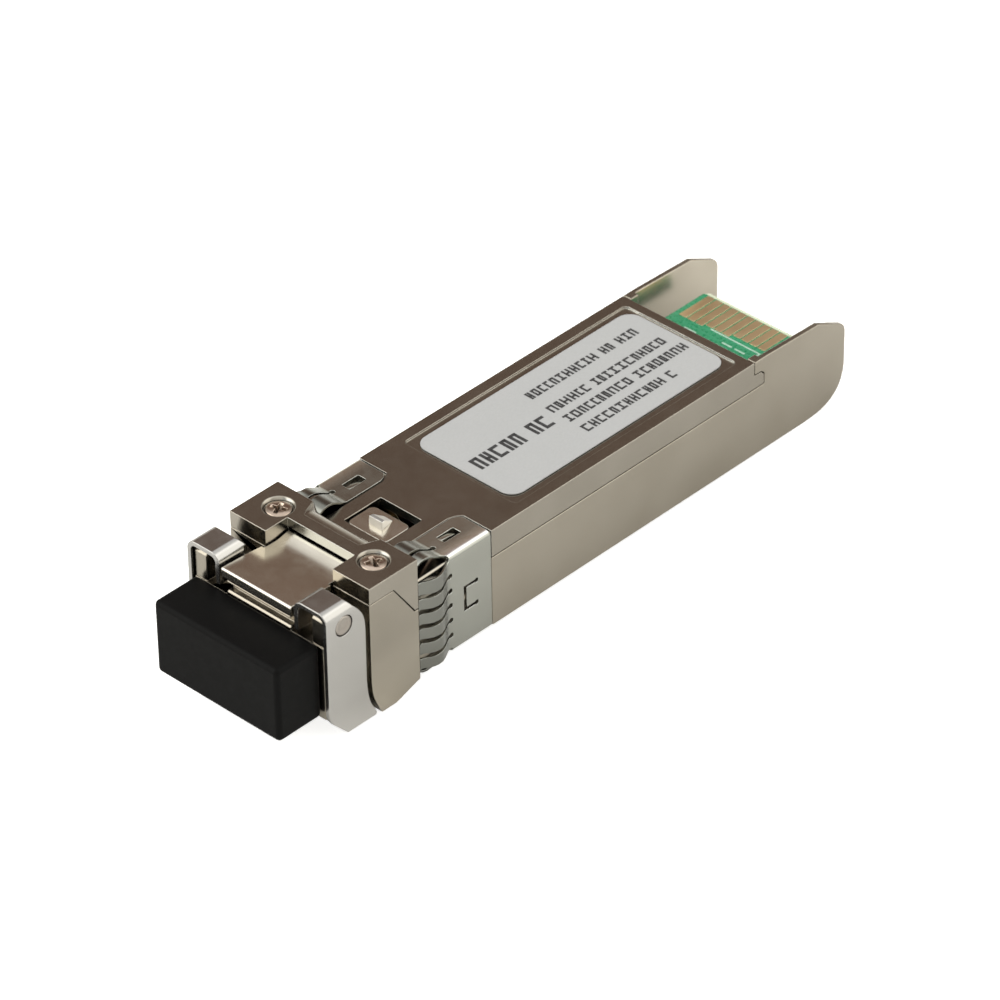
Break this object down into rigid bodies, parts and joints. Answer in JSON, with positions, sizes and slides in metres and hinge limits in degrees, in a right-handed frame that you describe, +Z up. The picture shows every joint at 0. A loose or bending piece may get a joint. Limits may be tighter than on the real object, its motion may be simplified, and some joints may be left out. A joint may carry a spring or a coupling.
{
  "type": "optical transceiver module",
  "caption": "Pluggable duplex fibre-optic transceiver: metal shell, swing-down pull bail, rocking latch lever, spring-fingered ground collar, card edge and rubber dust plug.",
  "frame": {"origin": "on the flat bottom face, on the module's centre plane, 25 mm ahead of the rear end of the wings", "axes": "+X across the module, +Y from the nose towards the card edge, +Z up towards the label side"},
  "size_m": [0.0148, 0.0604, 0.0118],
  "materials": {
    "nickel_plate": "satin nickel plate on zinc die casting",
    "nickel_bright": "bright nickel plate on stamped steel",
    "spring_steel": "bright rolled stainless",
    "black_rubber": "satin moulded",
    "green_solder_mask": "semi-gloss solder mask over glass epoxy",
    "label_paper": "matt silver polyester label",
    "zirconia": "polished ceramic",
    "mould_compound": "matt epoxy",
    "flex_film": "polyimide film",
    "gap_filler": "soft silicone pad",
    "capacitor_ceramic": "matt ceramic",
    "gold_plate": "gold plate on turned steel"
  },
  "bodies": {
    "housing": {"base_housing": "nickel_plate", "top_cover": "nickel_plate", "cover_screw_left": "nickel_bright", "cover_screw_right": "nickel_bright", "bail_pin_left": "nickel_plate", "bail_pin_right": "nickel_plate", "latch_axle": "spring_steel", "latch_spring": "spring_steel", "emi_collar": "spring_steel", "label": "label_paper", "main_pcb": "green_solder_mask", "tosa_body": "gold_plate", "rosa_body": "gold_plate", "tosa_sleeve": "zirconia", "rosa_sleeve": "zirconia", "tosa_flex": "flex_film", "rosa_flex": "flex_film", "osa_clamp": "nickel_plate", "laser_driver_ic": "mould_compound", "receiver_ic": "mould_compound", "microcontroller_ic": "mould_compound", "thermal_pad": "gap_filler", "power_inductor": "mould_compound", "bulk_capacitor": "capacitor_ceramic", "lower_memory_ic": "mould_compound", "ferrite_bead": "mould_compound"},
    "bail": {"bail": "nickel_bright"},
    "latch": {"latch_lever": "nickel_plate"},
    "plug": {"dust_plug": "black_rubber"}
  },
  "joints": [
    {"name": "bail_swing", "type": "hinge", "parent": "housing", "child": "bail", "pos_m": [0, -0.0294, 0.00875], "axis": [-1, 0, 0], "range_deg": [0, 90]},
    {"name": "latch_rock", "type": "hinge", "parent": "housing", "child": "latch", "pos_m": [0, -0.02335, 0.00835], "axis": [-1, 0, 0], "range_deg": [0, 7], "deforming": ["latch_spring"]},
    {"name": "plug_pull", "type": "slide", "parent": "housing", "child": "plug", "axis": [0, -1, 0], "range_m": [0, 0.02]}
  ],
  "couplings": [
    {"joint": "latch_rock", "follows": "bail_swing", "ratio": 0.077778}
  ]
}
